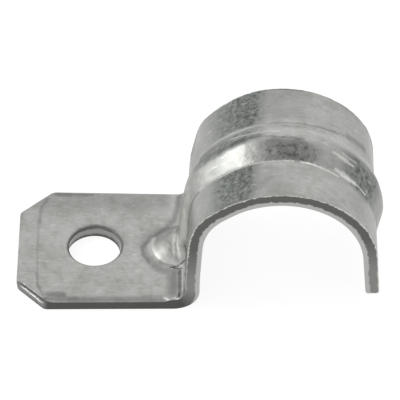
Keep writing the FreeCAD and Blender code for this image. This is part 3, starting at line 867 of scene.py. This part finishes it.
def galvanised_sheet(finish):
    """Hot-dip galvanised sheet, pressed. It gives the eye dull grey zinc with cloudy mottling,
    finer freckles, faint lines along the rolling, dark patches that are partly painted shade,
    painted shade in creases, along lines and on the arch, painted light, and bright rubbed and
    highlight lines."""
    material = new_material("galvanised_zinc_sheet")
    tree = material.node_tree
    run, across, depth, dull, drawn, matt, soiled, speckled = (
        node(tree, "ShaderNodeAttribute", attribute_name=name).outputs["Fac"]
        for name in ("run", "across", "depth", "dull", "drawn", "matt", "soiled", "speckled"))
    outer = node(tree, "ShaderNodeMath", {0: depth, 1: 0.5}, operation="LESS_THAN")
    place = node(tree, "ShaderNodeCombineXYZ", {"X": run, "Y": across, "Z": depth})

    # sizes in millimetres, with how many finer layers each has and how strong those are. Freckles
    # and the lines along the rolling are drawn coarser than the real ones, so that they show.
    cloud, mottle, freckle, ragged, uneven = (
        node(tree, "ShaderNodeTexNoise",
             {"Vector": place, "Scale": 1 / size, "Detail": layers, "Roughness": weight})
        for size, layers, weight in ((4.5, 3, 0.5), (1.4, 3, 0.5), (0.6, 5, 0.68),
                                     (0.45, 2, 0.5), (1.1, 3, 0.5)))
    # lines along the rolling, 1.4 by 0.45 mm
    long_place = node(tree, "ShaderNodeVectorMath", {0: place, 1: (1 / 1.4, 1 / 0.45, 1)},
                      operation="MULTIPLY")
    lines = node(tree, "ShaderNodeTexNoise", {"Vector": long_place, "Scale": 1.0, "Detail": 2.0})
    mixed = node(tree, "ShaderNodeMath", {0: mottle, 1: cloud}, operation="ADD")
    for texture, weight in ((lines, 0.4), (freckle, 0.45)):
        mixed = node(tree, "ShaderNodeMath", {0: texture, 1: weight, 2: mixed},
                     operation="MULTIPLY_ADD")
    tone = node(tree, "ShaderNodeMapRange", {"Value": mixed, "From Min": 1.12, "From Max": 1.71})
    zinc = node(tree, "ShaderNodeMix",
                {"Factor": tone, "A": (*[c * 0.88 for c in finish.zinc], 1),
                 "B": (*finish.zinc_pale, 1)},
                data_type="RGBA")

    # painted shade greys the leg, the arch's sides, the crown's bands, the dome and the foot's
    # back, and the dark patches, partly painted shade, have cloudy borders
    shade_cover = node(tree, "ShaderNodeMath", {0: drawn, 1: 0.42}, operation="MULTIPLY")
    border = node(tree, "ShaderNodeMath", {0: mottle, 1: 0.9, 2: dull}, operation="MULTIPLY_ADD")
    # each is a texture's values where it starts and is full, and how strong it is there: freckles
    # in the dark patches, which are partly painted shade, those borders, black specks on the bead,
    # shining nicks, pits that hold dirt, and breaks in the bright lines of rubbed zinc and painted
    # highlights
    flecks, border, specks, nicks, pits, broken = (
        node(tree, "ShaderNodeMapRange",
             {"Value": texture, "From Min": start, "From Max": full, "To Min": low, "To Max": high})
        for texture, start, full, low, high in (
            (freckle, 0.36, 0.62, 0.3, 1.1),
            (border, 0.5, 1.35, 0.0, 1.0),
            (freckle, 0.5, 0.62, 0.0, 0.7),
            (lines, 0.64, 0.72, 0.0, 0.3),
            (freckle, 0.31, 0.25, 0.0, 0.6),
            (freckle, 0.34, 0.46, 0.45, 1.0)))

    # the lines of painted shade, painted light, crease shade, and rubbed zinc with painted
    # highlights, with ragged sides
    ragged = node(tree, "ShaderNodeVectorMath",
                  {0: ragged.outputs["Color"], 1: (0.5, 0.5, 0.5)}, operation="SUBTRACT")
    ragged = node(tree, "ShaderNodeVectorMath", {0: ragged, 1: (0.5, 0.3, 0)},
                  operation="MULTIPLY")
    flat_place = node(tree, "ShaderNodeCombineXYZ", {"X": run, "Y": across})
    flat_place = node(tree, "ShaderNodeVectorMath", {0: flat_place, 1: ragged}, operation="ADD")
    smudge, painted_light, crease, rubbed = (
        marks(tree, flat_place, table, fade)
        for table, fade in ((PAINTED_SHADE_LINES, 2.0), (PAINTED_LIGHT_LINES, 1.6), (CREASES, 1.6), (RUBBED_AND_HIGHLIGHT_LINES, 1.5)))
    # painted shade along the shade lines and round the hole's rim
    smudge = node(tree, "ShaderNodeMath", {0: smudge, 1: soiled}, operation="MAXIMUM")
    patch_and_shade, specks, rubbed, smudge, painted_light, crease = (
        node(tree, "ShaderNodeMath", {0: cover, 1: where}, operation="MULTIPLY")
        for cover, where in ((border, flecks), (specks, speckled), (rubbed, broken),
                             (smudge, outer), (painted_light, outer), (crease, outer)))
    rubbed = node(tree, "ShaderNodeMath", {0: rubbed, 1: outer}, operation="MULTIPLY")
    # in this order the zinc takes painted shade, dark patches that are partly painted shade, dark
    # specks, shining nicks, dirt in pits, painted shade lines with the hole's rim, painted light,
    # crease shade and bright lines of rubbed zinc and painted highlights
    for cover, colour in ((shade_cover, finish.drawn), (patch_and_shade, finish.zinc_dark),
                          (specks, finish.smudge), (nicks, finish.rubbed),
                          (pits, finish.smudge), (smudge, finish.smudge),
                          (painted_light, finish.rubbed), (crease, finish.crease),
                          (rubbed, finish.rubbed)):
        zinc = node(tree, "ShaderNodeMix", {"Factor": cover, "A": zinc, "B": (*colour, 1)},
                    data_type="RGBA")

    rough = node(tree, "ShaderNodeMapRange",
                 {"Value": mottle, "From Min": 0.3, "From Max": 0.7,
                  "To Min": 0.18, "To Max": 0.34})
    for cover, added in ((patch_and_shade, 0.12), (drawn, 0.14), (matt, 0.12), (smudge, 0.2)):
        rough = node(tree, "ShaderNodeMath", {0: cover, 1: added, 2: rough},
                     operation="MULTIPLY_ADD")
    # the frozen coating's waves tilt it a few degrees
    bump_map = node(tree, "ShaderNodeBump", {"Height": uneven, "Distance": 0.075 * MM})
    shader = node(tree, "ShaderNodeBsdfPrincipled",
                  {"Base Color": zinc, "Metallic": 1.0, "Roughness": rough, "Normal": bump_map})
    node(tree, "ShaderNodeOutputMaterial", {"Surface": shader})
    return material


def sheared_edge(finish):
    """Sheared steel. It gives the eye a smooth pale band where the die cut, a dark grainy one
    where the sheet tore, and a thin bright burr along the arch."""
    material = new_material("sheared_steel_edge")
    tree = material.node_tree
    depth, run, clipped, holed = (
        node(tree, "ShaderNodeAttribute", attribute_name=name).outputs["Fac"]
        for name in ("depth", "run", "clipped", "holed"))
    place = node(tree, "ShaderNodeTexCoord").outputs["Object"]

    # grain of the tear, 0.8 and 0.3 mm
    coarse, fine = (
        node(tree, "ShaderNodeTexNoise",
             {"Vector": place, "Scale": 1 / (size * MM), "Detail": layers, "Roughness": weight})
        for size, layers, weight in ((0.8, 5, 0.7), (0.3, 3, 0.5)))
    shift = node(tree, "ShaderNodeMapRange",
                 {"Value": coarse, "From Min": 0.3, "From Max": 0.7,
                  "To Min": -0.09, "To Max": 0.09})
    torn = node(tree, "ShaderNodeMath", {0: depth, 1: shift}, operation="ADD")
    on_arch = node(tree, "ShaderNodeMapRange", {"Value": run, "From Min": 12.0, "From Max": 15.0})
    # on the foot no pale burnished band is left, so its whole edge stays dark as painted shade
    limit = node(tree, "ShaderNodeMapRange", {"Value": on_arch, "To Min": 1.15, "To Max": 0.66})
    past = node(tree, "ShaderNodeMath", {0: torn, 1: limit}, operation="SUBTRACT")
    # where the die cut it smooth, grime in the grain, the burr by the rim and how whole that is
    burnished, grime, burr, whole = (
        node(tree, "ShaderNodeMapRange",
             {"Value": value, "From Min": start, "From Max": full, "To Min": low, "To Max": high})
        for value, start, full, low, high in (
            (past, -0.04, 0.05, 0.0, 1.0),
            (fine, 0.3, 0.75, 0.0, 0.45),
            (torn, 0.1, 0.02, 0.0, 1.0),
            (run, 14.0, 24.0, 0.3, 1.0)))
    # the tear is paler down the leg and the tail
    low_down = by_distance(tree, run, 38.0, 15.0, 21.0, 0.45)
    # clipped corners and the hole were cut cleaner, with painted shade along both their rims, and a
    # painted highlight streak runs along the upper part of a clip
    streak = by_distance(tree, torn, 0.34, 0.10, 0.04)
    inside = by_distance(tree, run, -8.2, 1.7, 1.1)
    rim_shade = by_distance(tree, torn, 0.43, 0.22, 0.36)
    clean_cut = node(tree, "ShaderNodeMath", {0: clipped, 1: holed}, operation="MAXIMUM")
    low_down, burr, streak, rim_shade, worn = (
        node(tree, "ShaderNodeMath", {0: cover, 1: where}, operation="MULTIPLY")
        for cover, where in ((low_down, on_arch), (burr, on_arch), (streak, clipped),
                             (rim_shade, clean_cut), (clipped, 0.4)))
    burr, streak = (
        node(tree, "ShaderNodeMath", {0: cover, 1: where}, operation="MULTIPLY")
        for cover, where in ((burr, whole), (streak, inside)))
    # the foot's edge is painted darker than the arch's, as shade where it faces the floor
    steel = node(tree, "ShaderNodeMix",
                 {"Factor": on_arch, "A": (*finish.foot_edge, 1), "B": (*finish.fracture, 1)},
                 data_type="RGBA")
    for cover, colour in ((grime, finish.zinc_dark), (low_down, finish.burnish),
                          (burnished, finish.burnish), (burr, finish.burr),
                          (worn, finish.burnish), (streak, finish.streak),
                          (holed, finish.bore), (rim_shade, finish.crease)):
        steel = node(tree, "ShaderNodeMix", {"Factor": cover, "A": steel, "B": (*colour, 1)},
                     data_type="RGBA")

    clean = node(tree, "ShaderNodeMath", {0: burnished, 1: clean_cut}, operation="MAXIMUM")
    rough = node(tree, "ShaderNodeMapRange", {"Value": clean, "To Min": 0.62, "To Max": 0.32})
    bump_map = node(tree, "ShaderNodeBump", {"Height": fine, "Distance": 0.03 * MM})
    shader = node(tree, "ShaderNodeBsdfPrincipled",
                  {"Base Color": steel, "Metallic": 1.0, "Roughness": rough, "Normal": bump_map})
    node(tree, "ShaderNodeOutputMaterial", {"Surface": shader})
    return material


def seen_directly(tree):
    """1 for camera, glossy and transmission rays, and 0 for the rest."""
    rays = node(tree, "ShaderNodeLightPath").outputs
    either = node(tree, "ShaderNodeMath", {0: rays["Is Camera Ray"], 1: rays["Is Glossy Ray"]},
                  operation="MAXIMUM")
    return node(tree, "ShaderNodeMath", {0: either, 1: rays["Is Transmission Ray"]},
                operation="MAXIMUM")


def studio_floor(stage):
    """Matt white studio floor: white where it is seen, and it keeps a soft shadow."""
    material = new_material("matt_white_floor")
    tree = material.node_tree
    matt = node(tree, "ShaderNodeBsdfDiffuse",
                {"Color": (*[FLOOR_MATT * c for c in stage.backdrop], 1)})
    strength = node(tree, "ShaderNodeMath", {0: seen_directly(tree), 1: FLOOR_GLOW},
                    operation="MULTIPLY")
    glow = node(tree, "ShaderNodeEmission", {"Color": (*stage.backdrop, 1), "Strength": strength})
    both = node(tree, "ShaderNodeAddShader", {0: matt, 1: glow})
    node(tree, "ShaderNodeOutputMaterial", {"Surface": both})
    return material


# ------------------------------------------------------------------ operators
class STRAP_OT_pressed_sheet(bpy.types.Operator):
    """Build the strap's pressed sheet with its bead, hole and sheared edges"""

    bl_idname = "strap.pressed_sheet"
    bl_label = "Pressed sheet"

    def execute(self, context):
        settings = context.scene
        mesh = build_sheet_mesh(settings.strap_sizes)
        mesh.materials.append(galvanised_sheet(settings.strap_finish))
        mesh.materials.append(sheared_edge(settings.strap_finish))
        strap = bpy.data.objects.new("pressed_strap", mesh)
        context.scene.collection.objects.link(strap)
        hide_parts(CAD_NODE)
        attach(strap, CAD_BODY)
        return {"FINISHED"}


FLOOR_REACH = 3.0        # from the frame's origin to the floor's sides, in metres
FLOOR_GAP = 0.02 * MM    # from the strap down to the floor
FLOOR_MATT = 0.25        # how much of the light on it the floor scatters
FLOOR_GLOW = 0.85        # what the floor adds where it is seen, which makes it white
KEY_BEARING, KEY_HEIGHT = 173, 29    # of the lamp, in degrees
KEY_DISTANCE, KEY_SIZE = 0.5, (0.37, 0.39)     # of the lamp, in metres
AIM_SHIFT = -0.72 * MM   # along the conduit, from the strap's middle to where the camera looks
# each dark part of the studio: bearing and height of its middle, half its spread and the softness
# of its edge, all in degrees, and how light it is
DARK_ZONES = (
    (124, 27, 24, 16, 0.80),
    (0, 87, 28, 10, 0.42),
    (2, 30, 28, 10, 0.72),
    (48, 8, 26, 10, 0.82),
)


def aim(thing, target, roll=0.0):
    """Turn a lamp or camera to a point, with a roll about its own axis."""
    turn = (Vector(target) - thing.location).to_track_quat("-Z", "Y").to_matrix().to_4x4()
    place = Matrix.Translation(thing.location)
    thing.matrix_world = place @ turn @ Matrix.Rotation(roll, 4, "Z")


def bearing_vector(bearing, height):
    """The unit direction at a bearing round from +X and a height over the horizon, in degrees."""
    b, h = math.radians(bearing), math.radians(height)
    return (math.cos(b) * math.cos(h), math.sin(b) * math.cos(h), math.sin(h))


def add_lamp(name, bearing, height, distance, size, power, target):
    """A soft rectangular lamp, placed round the strap by its bearing and height in degrees."""
    lamp = bpy.data.lights.new(name, "AREA")
    lamp.shape = "RECTANGLE"
    lamp.size, lamp.size_y = size
    lamp.energy = power
    thing = bpy.data.objects.new(name, lamp)
    bpy.context.scene.collection.objects.link(thing)
    thing.location = Vector(target) + Vector(bearing_vector(bearing, height)) * distance
    aim(thing, target)


class STRAP_OT_stage(bpy.types.Operator):
    """Set up the floor, the backdrop, the soft lamp and the camera"""

    bl_idname = "strap.stage"
    bl_label = "Studio stage"

    def execute(self, context):
        stage = context.scene.strap_stage
        low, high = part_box(CAD_NODE)
        centre = (low + high) / 2
        floor_z = low.z - FLOOR_GAP
        corners = [(FLOOR_REACH * x, FLOOR_REACH * y, floor_z)
                   for x, y in ((-1, -1), (1, -1), (1, 1), (-1, 1))]
        mesh = bpy.data.meshes.new("studio_floor")
        mesh.from_pydata(corners, [], [(0, 1, 2, 3)])
        mesh.materials.append(studio_floor(stage))
        floor = bpy.data.objects.new("studio_floor", mesh)
        context.scene.collection.objects.link(floor)

        world = bpy.data.worlds.new("soft_studio")
        context.scene.world = world
        world.use_nodes = True
        tree = world.node_tree
        tree.nodes.clear()
        way = node(tree, "ShaderNodeTexCoord").outputs["Generated"]
        level = 1.0
        for bearing, height, spread, edge, dark in DARK_ZONES:
            near = node(tree, "ShaderNodeVectorMath",
                        {0: way, 1: bearing_vector(bearing, height)}, operation="DOT_PRODUCT")
            inside = node(tree, "ShaderNodeMapRange",
                          {"Value": near, "From Min": math.cos(math.radians(spread + edge)),
                           "From Max": math.cos(math.radians(spread - edge))},
                          interpolation_type="SMOOTHSTEP")
            level = node(tree, "ShaderNodeMix", {"Factor": inside, "A": level, "B": dark},
                         data_type="FLOAT")
        seen = node(tree, "ShaderNodeLightPath").outputs["Is Camera Ray"]
        level = node(tree, "ShaderNodeMix", {"Factor": seen, "A": level, "B": 1.0},
                     data_type="FLOAT")
        light = node(tree, "ShaderNodeBackground",
                     {"Color": (*stage.backdrop, 1), "Strength": level})
        node(tree, "ShaderNodeOutputWorld", {"Surface": light})

        add_lamp("key_softbox", KEY_BEARING, KEY_HEIGHT, KEY_DISTANCE, KEY_SIZE, stage.key,
                 centre)

        camera = bpy.data.cameras.new("camera")
        camera.lens = stage.lens
        camera.sensor_width = 36.0
        thing = bpy.data.objects.new("camera", camera)
        context.scene.collection.objects.link(thing)
        e, a = stage.elevation, stage.heading
        look = Vector((-math.sin(a) * math.cos(e), math.cos(a) * math.cos(e), -math.sin(e)))
        target = centre + Vector((0, AIM_SHIFT, 0))
        thing.location = target - look * stage.distance
        aim(thing, target, stage.roll)
        camera.clip_start, camera.clip_end = 0.01, 20.0
        context.scene.camera = thing
        context.scene.view_settings.view_transform = "Standard"
        return {"FINISHED"}


class STRAP_PT_panel(bpy.types.Panel):
    """Shows the strap's sizes, finish and stage, with buttons that build the sheet and the stage"""

    bl_idname = "STRAP_PT_panel"
    bl_label = "Conduit strap"
    bl_space_type = "VIEW_3D"
    bl_region_type = "UI"
    bl_category = "Conduit strap"

    def draw(self, context):
        layout = self.layout
        scene = context.scene
        for group, step in ((scene.strap_sizes, STRAP_OT_pressed_sheet),
                            (scene.strap_finish, None),
                            (scene.strap_stage, STRAP_OT_stage)):
            box = layout.box()
            for name in group.bl_rna.properties.keys():
                if name not in ("rna_type", "name"):
                    box.prop(group, name)
            if step:
                box.operator(step.bl_idname)


CLASSES = (StrapSizes, StrapFinish, StrapStage, STRAP_OT_pressed_sheet, STRAP_OT_stage,
           STRAP_PT_panel)


def register():
    """Register the classes and hang the settings on the scene."""
    for item in CLASSES:
        bpy.utils.register_class(item)
    bpy.types.Scene.strap_sizes = bpy.props.PointerProperty(type=StrapSizes)
    bpy.types.Scene.strap_finish = bpy.props.PointerProperty(type=StrapFinish)
    bpy.types.Scene.strap_stage = bpy.props.PointerProperty(type=StrapStage)


def unregister():
    """Take the settings and the classes away again."""
    for name in ("strap_sizes", "strap_finish", "strap_stage"):
        delattr(bpy.types.Scene, name)
    for item in reversed(CLASSES):
        bpy.utils.unregister_class(item)


def main():
    register()
    bpy.ops.strap.pressed_sheet()
    bpy.ops.strap.stage()


if __name__ == "__main__":
    main()
